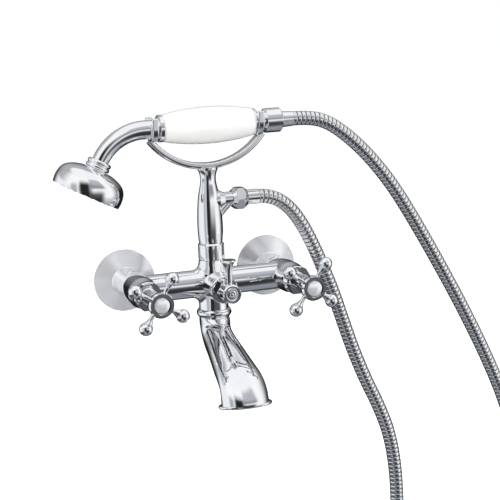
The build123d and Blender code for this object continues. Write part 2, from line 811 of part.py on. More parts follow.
def head_seats():
    """Places along the head's axis: top, rim, gasket seat and spray face."""
    top = neck_end_length + seat_gap
    rim = top + head_depth
    face_start = rim - spray_face_inset - spray_face_t
    return top, rim, face_start - head_gasket_t, face_start


def shower_head():
    """Bell-shaped shell with a seat for the spray face in its rim."""
    top, rim, gasket_start, _ = head_seats()
    face_r = head_d / 2 - head_wall + running_fit
    cavity_r = face_r - head_gasket_width
    shell = bell(head_d / 2, head_top_d / 2, top, rim, head_bulge)
    shell -= bell(cavity_r, head_top_d / 2 - head_wall, top + head_wall, gasket_start, 0)
    shell -= rod(2 * face_r, gasket_start, rim) + rod(neck_bore_d, top, top + head_wall)
    return neck_frame() * shell


def head_gasket():
    """Rubber ring behind the spray face."""
    _, _, gasket_start, face_start = head_seats()
    face_d = head_d - 2 * head_wall
    return neck_frame() * ring(face_d, face_d - 2 * head_gasket_width, gasket_start, face_start)


def spray_face():
    """Spray plate with rings of holes."""
    _, _, _, face_start = head_seats()
    face_end = face_start + spray_face_t
    plate = rod(head_d - 2 * head_wall, face_start, face_end)
    hole = rod(spray_hole_d, face_start, face_end)
    holes = [Rot(0, 0, 360 * index / count) * Pos(spray_ring_pitch * (number + 1), 0, 0) * hole
             for number, count in enumerate(spray_rings) for index in range(count)]
    return neck_frame() * (plate - holes)


def front_ferrule():
    """Bevelled ring between the neck and the grip."""
    bore = water_tube_d / 2 + running_fit
    outer = ferrule_d / 2
    start = -neck_start
    end = start + ferrule_length
    bevel = ferrule_length / 3
    return along_x(axis_height) * turned(
        (bore, start), (neck_d / 2 + ferrule_step, start), (outer, start + bevel), (outer, end - bevel / 2),
        (outer - edge_chamfer, end), (bore, end))


def handset_grip():
    """Ceramic barrel grip, bored for the water tube."""
    middle = (grip_start + grip_end) / 2
    bore, end_r = grip_bore_d / 2, grip_end_d / 2
    arc_start, arc_end = grip_start + grip_bevel, grip_end - grip_bevel
    outline = [Polyline((bore, grip_end), (bore, grip_start), (end_r - grip_bevel, grip_start),
                        (end_r, arc_start)),
               ThreePointArc((end_r, arc_start), (grip_middle_d / 2, middle), (end_r, arc_end)),
               Polyline((end_r, arc_end), (end_r - grip_bevel, grip_end), (bore, grip_end))]
    return along_x(axis_height) * revolve(Plane.XZ * make_face(outline), Axis.Z)


def water_tube():
    """Brass tube that carries the water through the grip and ties its ends together."""
    start = -neck_start - tube_socket + seat_gap
    end = tail_start + tube_socket - seat_gap
    return along_x(axis_height) * ring(water_tube_d, water_tube_bore_d, start, end)


def handset_tail():
    """Rear end of the hand shower: flange, neck for the fork and hose thread."""
    socket = water_tube_d / 2 + running_fit
    bore = water_tube_bore_d / 2
    flange_end = tail_start + tail_flange_t
    neck, thread = neck_d / 2, handset_thread_d / 2
    flange, bevel = tail_flange_d / 2, tail_flange_bevel
    socket_end = tail_start + tube_socket
    return along_x(axis_height) * turned(
        (socket, tail_start), (flange - bevel, tail_start), (flange, tail_start + bevel),
        (flange, flange_end - bevel), (flange - bevel, flange_end), (neck, flange_end),
        (neck, handset_thread_start), (thread, handset_thread_start), (thread, handset_thread_end),
        (bore, handset_thread_end), (bore, socket_end), (socket, socket_end))


# Hose and its ends
def captive_nut(outside, thread_d, nipple_d, start, shoulder_start, end):
    """Nut with a threaded mouth and a shoulder behind a nipple's flange."""
    bore = turned(
        (0, start), (thread_d / 2 + running_fit, start), (thread_d / 2 + running_fit, shoulder_start),
        (nipple_d / 2 + 2 * running_fit, shoulder_start), (nipple_d / 2 + 2 * running_fit, end), (0, end))
    return outside - bore


def riser_hose_places():
    """Places along the side outlet: thread end, nipple flange, nut shoulder, ferrule and hose."""
    thread_end = tee_length + tee_thread_length
    flange_start = thread_end + hose_washer_t
    flange_end = flange_start + nipple_flange_t
    ferrule_start = hose_nut_end + seat_gap
    return thread_end, flange_start, flange_end, ferrule_start, ferrule_start + riser_ferrule_length


def riser_hose_nut():
    """Hexagonal hose nut on the riser's side outlet."""
    _, _, flange_end, _, _ = riser_hose_places()
    outside = Rot(0, 0, hose_nut_turn) * hexagon(hose_nut_hex, hose_nut_start, hose_nut_end)
    face, corner = hose_nut_hex * hose_nut_face, hose_nut_hex * hose_nut_corner
    round_off = turned(
        (0, hose_nut_start), (face, hose_nut_start), (corner, hose_nut_start + hose_nut_bevel),
        (corner, hose_nut_end - hose_nut_bevel), (face, hose_nut_end), (0, hose_nut_end))
    nut = captive_nut(outside & round_off, tee_thread_d, riser_nipple_d, hose_nut_start,
                      flange_end + seat_gap, hose_nut_end)
    return along_x(tee_height) * nut


def riser_hose_washer():
    """Rubber washer in the riser's hose nut."""
    thread_end, flange_start, _, _, _ = riser_hose_places()
    return along_x(tee_height) * ring(tee_thread_d - washer_inset, tee_bore_d, thread_end, flange_start)


def hose_ferrule(bore_d, flange_d, nipple_d, sleeve_d, sleeve_end_d, places):
    """Crimped hose end: nipple flange, neck through the nut and outer sleeve."""
    flange_start, flange_end, ferrule_start, end = places
    bore = bore_d / 2
    return turned(
        (bore, flange_start), (flange_d / 2, flange_start), (flange_d / 2, flange_end),
        (nipple_d / 2, flange_end), (nipple_d / 2, ferrule_start), (sleeve_d / 2, ferrule_start),
        (sleeve_end_d / 2, end), (bore, end))


def riser_hose_ferrule():
    """Hose end at the riser."""
    places = riser_hose_places()[1:]
    return along_x(tee_height) * hose_ferrule(
        hose_bore_d - washer_inset, tee_thread_d - washer_inset / 2, riser_nipple_d, riser_ferrule_d,
        riser_ferrule_d, places)


def handset_hose_places():
    """Places along the hand shower's axis: nipple flange, nut end, ferrule and hose."""
    flange_start = handset_thread_end + handset_washer_t
    ferrule_start = handset_nut_end + 2 * seat_gap
    return flange_start, flange_start + nipple_flange_t, ferrule_start, ferrule_start + handset_ferrule_length


def handset_hose_nut():
    """Round hose nut on the hand shower's tail."""
    start = handset_thread_start + seat_gap
    outer = handset_nut_d / 2
    outside = turned(
        (0, start), (outer - handset_nut_bevel / 2, start), (outer, start + handset_nut_bevel / 2),
        (outer, handset_nut_end - handset_nut_bevel), (outer - handset_nut_bevel, handset_nut_end),
        (0, handset_nut_end))
    shoulder = handset_nut_end - handset_nut_shoulder
    nut = captive_nut(outside, handset_thread_d, handset_nipple_d, start, shoulder, handset_nut_end)
    return along_x(axis_height) * nut


def handset_hose_washer():
    """Rubber washer in the hand shower's hose nut."""
    washer = ring(handset_thread_d - 1.5 * washer_inset, water_tube_bore_d, handset_thread_end,
                  handset_thread_end + handset_washer_t)
    return along_x(axis_height) * washer


def handset_hose_ferrule():
    """Hose end at the hand shower."""
    return along_x(axis_height) * hose_ferrule(
        hose_bore_d, handset_thread_d - 1.5 * washer_inset, handset_nipple_d, handset_ferrule_d,
        handset_ferrule_end_d, handset_hose_places())


def hose_path():
    """Centre line of the hose: straight runs joined by tangent arcs as large as the runs allow."""
    start, end = riser_hose_places()[-1], handset_hose_places()[-1]
    points = [Vector(x, z) for x, z in (
        (start, tee_height), (start + riser_hose_lead, tee_height), *hose_route,
        (end + handset_hose_lead, axis_height), (end, axis_height))]
    runs = [after - before for before, after in zip(points, points[1:])]
    # An end run bends at one end only, so it has twice the room.
    room = [2 * runs[0].length, *[run.length for run in runs[1:-1]], 2 * runs[-1].length]
    radii = [hose_bend_share * min(room[corner:corner + 2]) / tan(radians(arriving.get_angle(leaving)) / 2)
             for corner, (arriving, leaving) in enumerate(zip(runs, runs[1:]))]
    line = FilletPolyline(*[(point.X, point.Y) for point in points], radius=radii)
    return Pos(0, -body_depth, 0) * (Plane.XZ * line)


def hose_circle(path, place, diameter):
    """Circle square to the hose at a length along it, with a steady X axis."""
    plane = Plane(path.position_at(place, position_mode=PositionMode.LENGTH), x_dir=(0, 1, 0),
                  z_dir=path.tangent_at(place, position_mode=PositionMode.LENGTH))
    return plane * Circle(diameter / 2)


def hose_run(path, start, end):
    """Ribbed, bored stretch of the hose between two lengths along it."""
    ribs = round((end - start) / hose_rib_pitch)
    pitch = (end - start) / ribs
    crest_start, crest_end, valley_start = hose_rib
    rib = ((0.0, hose_valley_d), (crest_start, hose_d), (crest_end, hose_d), (valley_start, hose_valley_d))
    outside = [hose_circle(path, start + (index + share) * pitch, diameter)
               for index in range(ribs) for share, diameter in rib]
    outside.append(hose_circle(path, end, hose_valley_d))
    bore = [hose_circle(path, start + index * pitch, hose_bore_d) for index in range(ribs + 1)]
    return loft(outside, ruled=True) - loft(bore, ruled=True), ribs


def hose_runs():
    """The three runs of the hose, end to end."""
    path = hose_path()
    length = path.length
    cuts = (0, hose_loop_from * length, hose_loop_to * length, length)
    runs = {}
    for name, start, end in zip(("hose_riser_run", "hose_loop", "hose_handset_run"), cuts, cuts[1:]):
        runs[name], ribs = hose_run(path, start, end)
        crest_start, crest_end, valley_start = hose_rib
        crest, valley = crest_end - crest_start, 1 - valley_start
        mean_section = (crest * hose_d ** 2 + valley * hose_valley_d ** 2
                        + (1 - crest - valley) * ((hose_d + hose_valley_d) / 2) ** 2
                        - hose_bore_d ** 2) * pi / 4
        print(name, "ribs", ribs, "length", round(end - start, 1), "volume", round(runs[name].volume),
              "section times length", round(mean_section * (end - start)))
    return runs


# Spout
def spout_collar():
    """Bead ring between the body and the spout."""
    radius, bore = collar_d / 2, outlet_thread_d / 2 + 2 * running_fit
    top, bottom = -body_bottom, spout_top
    flat = radius - collar_bulge
    outline = [Polyline((flat, bottom), (bore, bottom), (bore, top), (flat, top)),
               ThreePointArc((flat, top), (radius, (top + bottom) / 2), (flat, bottom))]
    return upright() * revolve(Plane.XZ * make_face(outline), Axis.Z)


def spout_path():
    """Centre line of the spout in depth and height: down, forward and down again."""
    corner = (body_depth, spout_top - spout_drop)
    nose = (body_depth + spout_reach, spout_top - spout_drop - spout_fall)
    mouth = (nose[0] + spout_mouth_lean, nose[1] - spout_mouth_drop)
    start = (body_depth, spout_top)
    return FilletPolyline(start, corner, nose, mouth, radius=spout_bend)


def spout_form(path, inset, first):
    """Loft of oval sections along the spout, from its round root to its wide mouth."""
    sections = []
    for index in range(spout_sections):
        share = first + (1 - first) * index / (spout_sections - 1)
        flare = share ** 2 * (3 - 2 * share)
        half_width = (spout_root_d + (spout_mouth_width - spout_root_d) * flare) / 2 - inset
        half_depth = (spout_root_d + (spout_mouth_depth - spout_root_d) * flare) / 2 - inset
        place, heading = path @ share, path % share
        plane = Plane((0, -place.X, place.Y), x_dir=(1, 0, 0), z_dir=(0, -heading.X, heading.Y))
        sections.append(plane * Ellipse(half_width, half_depth))
    return loft(sections)


def mouth_plane(path):
    """Plane of the spout's mouth, with Z pointing out of it."""
    place, heading = path @ 1, path % 1
    return Plane((0, -place.X, place.Y), x_dir=(1, 0, 0), z_dir=(0, -heading.X, heading.Y))


def straightener_size(gap):
    """Half width and half depth of the flow straightener's seat, less a gap."""
    return (spout_mouth_width / 2 - spout_wall / 2 - gap, spout_mouth_depth / 2 - spout_wall / 2 - gap)


def bath_spout():
    """Hollow flared spout with a lip round its mouth and a threaded root."""
    path = spout_path()
    mouth = mouth_plane(path)
    lip = Ellipse(spout_mouth_width / 2 + spout_lip, spout_mouth_depth / 2 + spout_lip)
    solid = spout_form(path, 0, 0)
    brim = mouth * extrude(lip, -spout_lip_t)
    solid += fillet(brim.edges(), spout_lip_t * spout_lip_round)
    solid -= spout_form(path, spout_wall, spout_bore_from)
    solid -= mouth * extrude(Ellipse(*straightener_size(0)), -straightener_inset - straightener_t)
    washer_seat = nipple_bottom - spout_washer_t
    root = rod(outlet_thread_d + 2 * running_fit, washer_seat, spout_top) + rod(
        outlet_bore_d, washer_seat - spout_root_d / 2, washer_seat)
    return solid - upright() * root


def spout_washer():
    """Washer under the body's bottom nipple."""
    return upright() * ring(outlet_thread_d, outlet_bore_d, nipple_bottom - spout_washer_t, nipple_bottom)


def flow_straightener():
    """Perforated plate inside the mouth."""
    width, depth = straightener_size(running_fit)
    plate = extrude(Ellipse(width, depth), straightener_t)
    hole = Cylinder(straightener_hole_d / 2, 4 * straightener_t)
    across = int((width - straightener_rim) / straightener_hole_pitch)
    deep = int((depth - straightener_rim) / straightener_hole_pitch)
    for column in range(-across, across + 1):
        for row in range(-deep, deep + 1):
            x, y = column * straightener_hole_pitch, row * straightener_hole_pitch
            inside_x = (abs(x) + straightener_hole_d) / (width - straightener_rim)
            inside_y = (abs(y) + straightener_hole_d) / (depth - straightener_rim)
            if inside_x ** 2 + inside_y ** 2 < 1:
                plate -= Pos(x, y, 0) * hole
    return mouth_plane(spout_path()) * Pos(0, 0, -straightener_inset - straightener_t) * plate


def main():
    """Build every piece and write it to its own file."""
    os.makedirs("parts", exist_ok=True)
    for side, x, angle in (("hot", -half_spacing, hot_angle), ("cold", half_spacing, cold_angle)):
        place = outward(x)
        save(f"{side}_wall_flange", place * wall_flange())
        save(f"{side}_eccentric_union", place * eccentric_union())
        save(f"{side}_union_nut", place * union_nut())
        save(f"{side}_union_tail", place * union_tail())
        save(f"{side}_headwork_bonnet", place * headwork_bonnet())
        save(f"{side}_fixed_disc", place * ported_disc(fixed_disc_start, 90))
        save(f"{side}_moving_disc", place * ported_disc(moving_disc_start, 0))
        save(f"{side}_spindle", place * spindle())
        save(f"{side}_cross_handle", place * cross_handle(angle))
        save(f"{side}_handle_screw", place * slotted_screw(screw_seat))
        save(f"{side}_index_button", place * domed_button(button_d, button_seat, button_t))
    places = [outward(-half_spacing), outward(half_spacing)]
    save("union_washers", Compound([place * union_washer() for place in places]))
    save("lip_seals", Compound([place * lip_seal() for place in places]))
    save("mixer_body", mixer_body())
    diverter = outward(0, -diverter_drop)
    save("diverter_drum", diverter * diverter_drum())
    save("diverter_bonnet", diverter * diverter_bonnet())
    save("diverter_o_ring", diverter * diverter_o_ring())
    save("diverter_lever", diverter * diverter_lever())
    save("diverter_screw", diverter * slotted_screw(lever_web_end))
    save("diverter_cap", diverter * domed_button(cap_d, lever_end - cap_t, cap_t))
    save("riser_nut", upright() * riser_nut())
    save("riser_washer", upright() * riser_washer())
    save("riser_snap_ring", upright() * snap_ring())
    save("riser_column", riser_column())
    save("cradle_stud", cradle_stud())
    save("handset_cradle", handset_cradle())
    save("handset_neck", handset_neck())
    save("head_collar", head_collar())
    save("shower_head", shower_head())
    save("head_gasket", head_gasket())
    save("spray_face", spray_face())
    save("front_ferrule", front_ferrule())
    save("handset_grip", handset_grip())
    save("water_tube", water_tube())
    save("handset_tail", handset_tail())
    save("riser_hose_nut", riser_hose_nut())
    save("riser_hose_washer", riser_hose_washer())
    save("riser_hose_ferrule", riser_hose_ferrule())
    save("handset_hose_nut", handset_hose_nut())
    save("handset_hose_washer", handset_hose_washer())
    save("handset_hose_ferrule", handset_hose_ferrule())
    for name, run in hose_runs().items():
        save(name, run)
    save("spout_collar", spout_collar())
    save("bath_spout", bath_spout())
    save("spout_washer", spout_washer())
    save("flow_straightener", flow_straightener())


main()
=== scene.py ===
import json
import logging
import math
from dataclasses import dataclass
from enum import Enum

import bpy
from mathutils import Matrix, Vector


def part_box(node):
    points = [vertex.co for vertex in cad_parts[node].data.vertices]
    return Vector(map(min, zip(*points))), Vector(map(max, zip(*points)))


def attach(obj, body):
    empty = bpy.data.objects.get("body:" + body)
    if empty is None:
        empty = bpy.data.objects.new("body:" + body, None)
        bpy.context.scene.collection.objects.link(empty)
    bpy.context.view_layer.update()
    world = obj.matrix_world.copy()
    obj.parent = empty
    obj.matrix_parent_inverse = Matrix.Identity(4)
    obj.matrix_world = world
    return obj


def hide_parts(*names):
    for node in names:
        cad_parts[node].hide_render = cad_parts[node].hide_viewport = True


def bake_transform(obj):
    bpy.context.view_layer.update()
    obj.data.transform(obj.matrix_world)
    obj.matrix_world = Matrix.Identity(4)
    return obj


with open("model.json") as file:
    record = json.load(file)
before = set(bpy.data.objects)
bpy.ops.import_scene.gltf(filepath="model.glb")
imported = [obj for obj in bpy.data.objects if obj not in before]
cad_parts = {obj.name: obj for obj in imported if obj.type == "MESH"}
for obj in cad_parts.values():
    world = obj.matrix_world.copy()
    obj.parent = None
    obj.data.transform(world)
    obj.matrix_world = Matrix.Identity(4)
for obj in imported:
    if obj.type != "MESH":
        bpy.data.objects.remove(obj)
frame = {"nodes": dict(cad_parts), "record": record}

LOG = logging.getLogger("bath_mixer")
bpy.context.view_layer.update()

Pair = tuple[float, float]
Triple = tuple[float, float, float]
Quad = tuple[float, float, float, float]
Face = tuple[int, ...]
Socket = bpy.types.NodeSocket

MIDDLE = (0.03, -0.06, 0.05)
NOISE_LOW = 0.3
NOISE_HIGH = 0.7


class Body(Enum):
    """Moving bodies of the mixer."""

    BASE = "base"
    HOT = "hot_handle"
    COLD = "cold_handle"
    DIVERTER = "diverter"
    HANDSET = "handset"


class Side(Enum):
    """The two water inlets."""

    HOT = "hot"
    COLD = "cold"


class Slot(Enum):
    """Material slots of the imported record."""

    CHROME = "chrome"
    BRASS = "brass"
    STEEL = "steel"
    HOSE = "hose_steel"
    PORCELAIN = "porcelain"
    DISC = "disc_ceramic"
    RUBBER = "rubber"
    PLASTIC = "white_plastic"


class Shader:
    """A node material under construction, with short calls for its usual links."""

    def __init__(self, name: str) -> None:
        """Start a material with an empty Principled surface."""
        self.material = bpy.data.materials.new(name)
        self.material.use_nodes = True
        self.tree = self.material.node_tree
        self.surface = self.tree.nodes["Principled BSDF"]

    def node(self, kind: str, **inputs: object) -> bpy.types.Node:
        """Add a node and set its inputs.

        Args:
            kind: Node type, without the ShaderNode prefix.
            **inputs: Input values, with underscores for spaces in the names.

        Returns:
            The new node.
        """
        made = self.tree.nodes.new("ShaderNode" + kind)
        for key, value in inputs.items():
            made.inputs[key.replace("_", " ")].default_value = value
        return made

    def link(self, source: Socket, target: Socket) -> None:
        """Join two sockets."""
        self.tree.links.new(source, target)

    def position(self) -> bpy.types.Node:
        """Split the piece's own coordinates.

        Returns:
            The node with the X, Y and Z outputs.
        """
        place = self.node("TexCoord")
        made = self.node("SeparateXYZ")
        self.link(place.outputs["Object"], made.inputs["Vector"])
        return made

    def noise(self, scale: float, detail: float = 3.0) -> bpy.types.Node:
        """Noise over the piece's own coordinates.

        Args:
            scale: Waves per metre.
            detail: Octaves.

        Returns:
            The noise node.
        """
        place = self.node("TexCoord")
        made = self.node("TexNoise", Scale=scale, Detail=detail)
        self.link(place.outputs["Object"], made.inputs["Vector"])
        return made

    def polish(self, value: Socket, smooth: float, rough: float) -> None:
        """Vary the roughness with a noise value.

        Args:
            value: Noise value.
            smooth: Roughness at the noise's lower end.
            rough: Roughness at its upper end.
        """
        made = self.node("MapRange", From_Min=NOISE_LOW, From_Max=NOISE_HIGH, To_Min=smooth, To_Max=rough)
        self.link(value, made.inputs["Value"])
        self.link(made.outputs["Result"], self.surface.inputs["Roughness"])

    def tint(self, value: Socket, first: Triple, second: Triple) -> None:
        """Colour the surface between two colours.

        Args:
            value: Noise value.
            first: Colour at the noise's lower end.
            second: Colour at its upper end.
        """
        ramp = self.node("ValToRGB")
        ramp.color_ramp.elements[0].position = NOISE_LOW
        ramp.color_ramp.elements[1].position = NOISE_HIGH
        ramp.color_ramp.elements[0].color = (*first, 1.0)
        ramp.color_ramp.elements[1].color = (*second, 1.0)
        self.link(value, ramp.inputs["Fac"])
        self.link(ramp.outputs["Color"], self.surface.inputs["Base Color"])

    def bump(self, height: Socket, strength: float, depth: float) -> None:
        """Raise the surface by a height socket.

        Args:
            height: Height from 0 to 1.
            strength: Share of the effect.
            depth: Height in metres of a full step.
        """
        made = self.node("Bump", Strength=strength, Distance=depth)
        self.link(height, made.inputs["Height"])
        self.link(made.outputs["Normal"], self.surface.inputs["Normal"])

    def maths(self, operation: str, first: Socket, second: Socket | float | None = None) -> Socket:
        """Work out one step of arithmetic.

        Args:
            operation: Name of the step.
            first: First value.
            second: Second value, a socket or a number.

        Returns:
            The result.
        """
        made = self.node("Math")
        made.operation = operation
        self.link(first, made.inputs[0])
        if isinstance(second, Socket):
            self.link(second, made.inputs[1])
        elif second is not None:
            made.inputs[1].default_value = second
        return made.outputs[0]

    def constant(self, **inputs: object) -> None:
        """Set plain values on the surface's own sockets."""
        for key, value in inputs.items():
            self.surface.inputs[key.replace("_", " ")].default_value = value


@dataclass(frozen=True)
class MetalFinish:
    """Bare or plated metal with a polish that varies a little over the surface."""

    name: str
    bright: Triple
    dull: Triple
    smooth: float
    rough: float
    metallic: float = 1.0
    refraction: float = 1.5
    haze_scale: float = 140.0
    grain_scale: float = 900.0
    wave_scale: float = 26.0
    wave_share: float = 0.5
    wave_depth: float = 0.00004

    def start(self) -> Shader:
        """Build the colour and the polish, without any relief.

        Returns:
            The material under construction.
        """
        shader = Shader(self.name)
        shader.constant(Metallic=self.metallic, IOR=self.refraction)
        haze = shader.noise(self.haze_scale, 4.0)
        shader.tint(haze.outputs["Fac"], self.bright, self.dull)
        wear = shader.noise(self.grain_scale, 2.0)
        shader.polish(wear.outputs["Fac"], self.smooth, self.rough)
        return shader

    def material(self) -> bpy.types.Material:
        """Build the node material.

        Returns:
            The metal with its faint waves.
        """
        shader = self.start()
        wave = shader.noise(self.wave_scale, 1.0)
        shader.bump(wave.outputs["Fac"], self.wave_share, self.wave_depth)
        return shader.material


@dataclass(frozen=True)
class ThreadFinish(MetalFinish):
    """Metal with a pipe thread cut on what lies behind the wall's face, round the axis of each inlet."""

    inlet_half_spacing: float = 0.075
    pitch: float = 0.001814
    depth: float = 0.0009

    def material(self) -> bpy.types.Material:
        """Build the node material.

        Returns:
            The metal with its thread.
        """
        shader = self.start()
        split = shader.position()
        side = shader.maths("SIGN", split.outputs["X"])
        offset = shader.maths("MULTIPLY", side, self.inlet_half_spacing)
        across = shader.maths("SUBTRACT", split.outputs["X"], offset)
        turn = shader.maths("ARCTAN2", across, split.outputs["Z"])
        lead = shader.maths("DIVIDE", turn, 2.0 * math.pi)
        along = shader.maths("DIVIDE", split.outputs["Y"], self.pitch)
        flank = shader.maths("PINGPONG", shader.maths("ADD", along, lead), 0.5)
        behind = shader.maths("GREATER_THAN", split.outputs["Y"], 0.0)
        shader.bump(shader.maths("MULTIPLY", flank, behind), 1.0, 2.0 * self.depth)
        return shader.material


@dataclass(frozen=True)
class TurnedFinish(MetalFinish):
    """Polished metal with fine lathe rings round an axis that runs into the wall."""

    centre: Pair = (0.0, 0.0)
    ring_pitch: float = 0.0022
    ring_depth: float = 0.00012

    def material(self) -> bpy.types.Material:
        """Build the node material.

        Returns:
            The metal with its lathe rings.
        """
        shader = self.start()
        split = shader.position()
        across = shader.maths("SUBTRACT", split.outputs["X"], self.centre[0])
        above = shader.maths("SUBTRACT", split.outputs["Z"], self.centre[1])
        square = shader.maths("ADD", shader.maths("MULTIPLY", across, across),
                              shader.maths("MULTIPLY", above, above))
        turns = shader.maths("DIVIDE", shader.maths("SQRT", square), self.ring_pitch / (2.0 * math.pi))
        shader.bump(shader.maths("SINE", turns), 1.0, self.ring_depth)
        return shader.material


@dataclass(frozen=True)
class GlazedFinish:
    """White glaze over porcelain, with faint cloudiness and ripples."""

    name: str = "glazed_porcelain"
    bright: Triple = (0.86, 0.86, 0.85)
    shade: Triple = (0.80, 0.80, 0.79)
    smooth: float = 0.16
    rough: float = 0.26
    refraction: float = 1.52
    coat_weight: float = 0.7
    coat_roughness: float = 0.04
    cloud_scale: float = 40.0
    pit_scale: float = 300.0
    ripple_scale: float = 60.0
    ripple_share: float = 0.4
    ripple_depth: float = 0.00008

    def material(self) -> bpy.types.Material:
        """Build the node material.

        Returns:
            The glazed porcelain.
        """
        shader = Shader(self.name)
        shader.constant(Coat_Weight=self.coat_weight, Coat_Roughness=self.coat_roughness, IOR=self.refraction)
        cloud = shader.noise(self.cloud_scale, 4.0)
        shader.tint(cloud.outputs["Fac"], self.shade, self.bright)
        pits = shader.noise(self.pit_scale, 2.0)
        shader.polish(pits.outputs["Fac"], self.smooth, self.rough)
        ripple = shader.noise(self.ripple_scale, 1.0)
        shader.bump(ripple.outputs["Fac"], self.ripple_share, self.ripple_depth)
        return shader.material


@dataclass(frozen=True)
class HoseFinish:
    """Stainless hose whose steel has painted shade in the hollows between its ribs."""

    name: str = "hose_steel"
    crest: Triple = (0.84, 0.845, 0.86)
    # Colour of the painted shade at the bottom of each rib's hollow.
    groove_depth_and_shade: Triple = (0.07, 0.07, 0.08)
    smooth: float = 0.08
    rough: float = 0.18
    grain_scale: float = 1200.0
    grain_share: float = 0.2
    grain_depth: float = 0.00003

    def material(self) -> bpy.types.Material:
        """Build the node material.

        Returns:
            The hose's steel, with painted shade in its hollows, read from a point attribute of the tube.
        """
        shader = Shader(self.name)
        shader.constant(Metallic=1.0)
        # Painted shade: the tube's attribute darkens the steel in the hollows between the ribs, where real
        # shade would fall.
        depth = shader.node("Attribute")
        depth.attribute_name = "groove_depth_and_shade"
        shader.tint(depth.outputs["Fac"], self.crest, self.groove_depth_and_shade)
        wear = shader.noise(self.grain_scale, 3.0)
        shader.polish(wear.outputs["Fac"], self.smooth, self.rough)
        shader.bump(wear.outputs["Fac"], self.grain_share, self.grain_depth)
        return shader.material


@dataclass(frozen=True)
class MouldedFinish:
    """Rubber, plastic or lapped ceramic with a fine grain."""

    name: str
    light: Triple
    dark: Triple
    smooth: float
    rough: float
    grain_scale: float = 1500.0
    grain_share: float = 0.3
    grain_depth: float = 0.00005

    def material(self) -> bpy.types.Material:
        """Build the node material.

        Returns:
            The moulded or lapped material.
        """
        shader = Shader(self.name)
        grain = shader.noise(self.grain_scale, 3.0)
        shader.tint(grain.outputs["Fac"], self.dark, self.light)
        shader.polish(grain.outputs["Fac"], self.smooth, self.rough)
        shader.bump(grain.outputs["Fac"], self.grain_share, self.grain_depth)
        return shader.material


CHROME = MetalFinish("polished_chrome", (0.95, 0.955, 0.965), (0.91, 0.915, 0.925), 0.012, 0.045)
THREADED = ThreadFinish("threaded_chrome", (0.80, 0.80, 0.80), (0.70, 0.70, 0.70), 0.10, 0.22)
SATIN = MetalFinish("satin_chrome", (0.86, 0.865, 0.89), (0.82, 0.825, 0.85), 0.16, 0.22, metallic=0.55)
FINISHES = {
    Slot.CHROME: CHROME,
    Slot.BRASS: MetalFinish("machined_brass", (0.76, 0.60, 0.30), (0.62, 0.47, 0.22), 0.18, 0.34),
    Slot.STEEL: MetalFinish("plain_steel", (0.62, 0.62, 0.63), (0.52, 0.52, 0.54), 0.16, 0.30),
    Slot.HOSE: HoseFinish(),
    Slot.PORCELAIN: GlazedFinish(),
    Slot.DISC: MouldedFinish("lapped_ceramic", (0.86, 0.84, 0.80), (0.80, 0.78, 0.74), 0.18, 0.30),
    Slot.RUBBER: MouldedFinish("black_rubber", (0.035, 0.035, 0.036), (0.018, 0.018, 0.019), 0.50, 0.70),
    Slot.PLASTIC: MouldedFinish("white_plastic", (0.78, 0.78, 0.76), (0.70, 0.70, 0.68), 0.34, 0.48),
}
NODE_SLOTS = {entry["node"]: Slot(entry["material_slot"]) for entry in frame["record"]["subparts"]}
Materials = dict[Slot, bpy.types.Material]


def coat(name: str, material: bpy.types.Material) -> None:
    """Put one material on a CAD node.

    Args:
        name: Name of the node.
        material: Its finish.
    """
    slots = frame["nodes"][name].data.materials
    slots.clear()
    slots.append(material)


def new_piece(name: str, verts: list[Vector], faces: list[Face],
              material: bpy.types.Material) -> bpy.types.Object:
    """Make a smooth-shaded mesh piece.

    Args:
        name: Name of the piece.
        verts: Points in the shared frame.
        faces: Rings of point numbers.
        material: Finish of the piece.

    Returns:
        The new object, linked to the scene.
    """
    mesh = bpy.data.meshes.new(name)
    mesh.from_pydata(verts, [], faces)
    mesh.materials.append(material)
    mesh.update()
    mesh.shade_smooth()
    piece = bpy.data.objects.new(name, mesh)
    bpy.context.scene.collection.objects.link(piece)
    return piece


@dataclass
class SubAssembly:
    """CAD nodes that are fitted, dressed and reported together."""

    nodes: tuple[str, ...] = ()

    def dress(self, materials: Materials) -> None:
        """Give each node the finish of its slot.

        Args:
            materials: Materials by slot.
        """
        for name in self.nodes:
            coat(name, materials[NODE_SLOTS[name]])
            LOG.info("%s in %s", name, NODE_SLOTS[name].value)

    def build(self, materials: Materials) -> None:
        """Dress the nodes, for a sub-assembly with no detail of its own."""
        self.dress(materials)


@dataclass
class WallUnions(SubAssembly):
    """Wall flanges, eccentric unions and swivel nuts of both inlets."""

    nodes: tuple[str, ...] = (
        "hot_wall_flange", "cold_wall_flange", "hot_eccentric_union", "cold_eccentric_union", "hot_union_nut",
        "cold_union_nut", "hot_union_tail", "cold_union_tail", "union_washers")
    threaded: tuple[str, ...] = ("hot_eccentric_union", "cold_eccentric_union")
    satin: tuple[str, ...] = ("hot_wall_flange", "cold_wall_flange")

    def build(self, materials: Materials) -> None:
        """Dress the nodes, dull the pressed flanges and cut the wall threads.

        Args:
            materials: Materials by slot.
        """
        self.dress(materials)
        for names, finish in ((self.satin, SATIN), (self.threaded, THREADED)):
            material = finish.material()
            for name in names:
                coat(name, material)


@dataclass
class MixerBody(SubAssembly):
    """Cast body with the seals that both valves stand on."""

    nodes: tuple[str, ...] = ("mixer_body", "lip_seals")


@dataclass
class Headwork(SubAssembly):
    """Quarter-turn valve of one inlet with its cross handle and bare index button."""

    side: Side = Side.HOT
    button: str = "index_button"
    pieces: tuple[str, ...] = ("headwork_bonnet", "fixed_disc", "moving_disc", "spindle", "cross_handle",
                               "handle_screw", "index_button")

    def __post_init__(self) -> None:
        """Name the nodes of this side."""
        self.nodes = tuple(f"{self.side.value}_{piece}" for piece in self.pieces)

    def build(self, materials: Materials) -> None:
        """Dress the nodes and dull the index button."""
        self.dress(materials)
        coat(f"{self.side.value}_{self.button}", SATIN.material())


